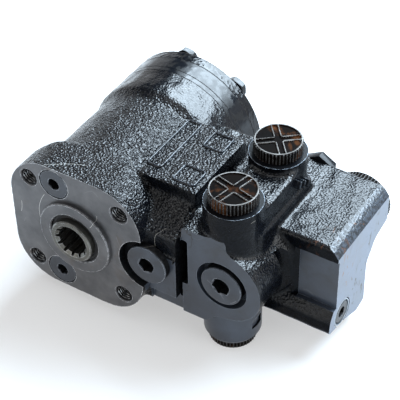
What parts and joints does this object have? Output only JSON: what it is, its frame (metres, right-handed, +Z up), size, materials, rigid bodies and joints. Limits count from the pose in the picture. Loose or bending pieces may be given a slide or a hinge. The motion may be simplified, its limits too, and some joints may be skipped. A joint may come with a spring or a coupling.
{
  "type": "orbital steering unit with priority valve",
  "caption": "Hydrostatic orbital steering unit: spool and sleeve valve, orbiting gear set, built-in priority valve and capped ports on one black iron casting.",
  "frame": {"origin": "centre of the column flange face, on the input axis", "axes": "+X right seen from the column, +Y rearwards along the input shaft, +Z up"},
  "size_m": [0.183, 0.135, 0.1045],
  "materials": {
    "casting": "rough sand-cast iron under black paint, milled faces bare",
    "cast_end": "rough black-painted iron",
    "ground_steel": "ground and oiled",
    "bolt_black": "black phosphated",
    "washer_steel": "plain",
    "plug_grey": "turned, grey",
    "plug_black": "black oxide",
    "cap_plastic": "dark brown-black moulded plastic",
    "seal_rubber": "nitrile",
    "valve_steel": "ground",
    "bearing_steel": "polished",
    "spring_steel": "spring temper"
  },
  "bodies": {
    "valve_housing": {"housing": "casting", "dust_seal": "seal_rubber", "shaft_seal": "seal_rubber", "bearing_race_front": "bearing_steel", "port_plate": "ground_steel", "gear_ring": "ground_steel", "end_cover": "cast_end", "seal_ring_front": "seal_rubber", "seal_ring_middle": "seal_rubber", "seal_ring_rear": "seal_rubber", "cover_bolt_1": "bolt_black", "cover_bolt_2": "bolt_black", "cover_bolt_3": "bolt_black", "cover_bolt_4": "bolt_black", "cover_bolt_5": "bolt_black", "cover_bolt_6": "bolt_black", "cover_bolt_7": "bolt_black", "cover_washers": "washer_steel", "shock_plug_lower": "plug_grey", "shock_plug_upper": "plug_grey", "shock_seat_lower": "valve_steel", "shock_seat_upper": "valve_steel", "shock_spring_lower": "spring_steel", "shock_spring_upper": "spring_steel", "relief_plug": "plug_grey", "relief_spring": "spring_steel", "priority_plug": "plug_grey", "priority_rear_plug": "plug_grey", "priority_spring": "spring_steel", "seat_plug": "plug_grey", "seat_ring": "plug_grey", "seat_spring": "spring_steel", "gauge_plug": "plug_black"},
    "sleeve": {"control_sleeve": "valve_steel", "cross_pin": "valve_steel", "spring_ring": "spring_steel", "centring_springs": "spring_steel", "bearing_race_rear": "bearing_steel"},
    "spool": {"control_spool": "valve_steel"},
    "cage": {"bearing_cage": "bearing_steel"},
    "orbit": {"rotor_spacer": "ground_steel"},
    "star": {"gear_star": "ground_steel"},
    "shaft": {"drive_shaft": "valve_steel"},
    "ball_lower": {"shock_ball_lower": "bearing_steel"},
    "ball_upper": {"shock_ball_upper": "bearing_steel"},
    "relief": {"relief_poppet": "valve_steel"},
    "priority": {"priority_spool": "valve_steel"},
    "seat": {"seat_poppet": "valve_steel"},
    "front_cap": {"cap_top_front": "cap_plastic"},
    "rear_top_cap": {"cap_top_rear": "cap_plastic"},
    "under_cap": {"cap_bottom": "cap_plastic"},
    "back_cap": {"cap_rear": "cap_plastic"}
  },
  "joints": [
    {"name": "sleeve_turn", "type": "hinge", "parent": "valve_housing", "child": "sleeve", "pos_m": [0, 0.06, 0], "axis": [0, 1, 0], "continuous": true},
    {"name": "spool_deflect", "type": "hinge", "parent": "sleeve", "child": "spool", "pos_m": [0, 0.06, 0], "axis": [0, 1, 0], "range_deg": [-8, 8], "stiffness_Nm_per_rad": 1, "deforming": ["centring_springs"]},
    {"name": "cage_turn", "type": "hinge", "parent": "valve_housing", "child": "cage", "pos_m": [0, 0.0158, 0], "axis": [0, 1, 0], "continuous": true},
    {"name": "orbit_turn", "type": "hinge", "parent": "valve_housing", "child": "orbit", "pos_m": [0, 0.10975, 0], "axis": [0, 1, 0], "continuous": true},
    {"name": "star_spin", "type": "hinge", "parent": "orbit", "child": "star", "pos_m": [-0.0027, 0.10975, 0.00009], "axis": [0, 1, 0], "continuous": true},
    {"name": "shaft_spin", "type": "hinge", "parent": "orbit", "child": "shaft", "pos_m": [0, 0.04, 0], "axis": [-0.0387, 0.9993, 0.0013], "continuous": true},
    {"name": "shock_lift_lower", "type": "slide", "parent": "valve_housing", "child": "ball_lower", "axis": [0, -1, 0], "range_m": [0, 0.002], "stiffness_N_per_m": 300, "deforming": ["shock_spring_lower"]},
    {"name": "shock_lift_upper", "type": "slide", "parent": "valve_housing", "child": "ball_upper", "axis": [0, -1, 0], "range_m": [0, 0.002], "stiffness_N_per_m": 300, "deforming": ["shock_spring_upper"]},
    {"name": "relief_lift", "type": "slide", "parent": "valve_housing", "child": "relief", "axis": [0, -1, 0], "range_m": [0, 0.002], "stiffness_N_per_m": 400, "deforming": ["relief_spring"]},
    {"name": "priority_shift", "type": "slide", "parent": "valve_housing", "child": "priority", "axis": [0, 1, 0], "range_m": [0, 0.008], "stiffness_N_per_m": 400, "deforming": ["priority_spring"]},
    {"name": "seat_lift", "type": "slide", "parent": "valve_housing", "child": "seat", "axis": [1, 0, 0], "range_m": [0, 0.0015], "stiffness_N_per_m": 300, "deforming": ["seat_spring"]},
    {"name": "front_cap_off", "type": "slide", "parent": "valve_housing", "child": "front_cap", "axis": [0, 0, 1], "range_m": [0, 0.0105]},
    {"name": "rear_top_cap_off", "type": "slide", "parent": "valve_housing", "child": "rear_top_cap", "axis": [0, 0, 1], "range_m": [0, 0.0105]},
    {"name": "under_cap_off", "type": "slide", "parent": "valve_housing", "child": "under_cap", "axis": [0, 0, -1], "range_m": [0, 0.0105]},
    {"name": "back_cap_off", "type": "slide", "parent": "valve_housing", "child": "back_cap", "axis": [0, 1, 0], "range_m": [0, 0.0135]}
  ],
  "couplings": [
    {"joint": "cage_turn", "follows": "sleeve_turn", "ratio": 0.5},
    {"joint": "orbit_turn", "follows": "sleeve_turn", "ratio": -6},
    {"joint": "star_spin", "follows": "sleeve_turn", "ratio": 7},
    {"joint": "shaft_spin", "follows": "sleeve_turn", "ratio": 7}
  ]
}
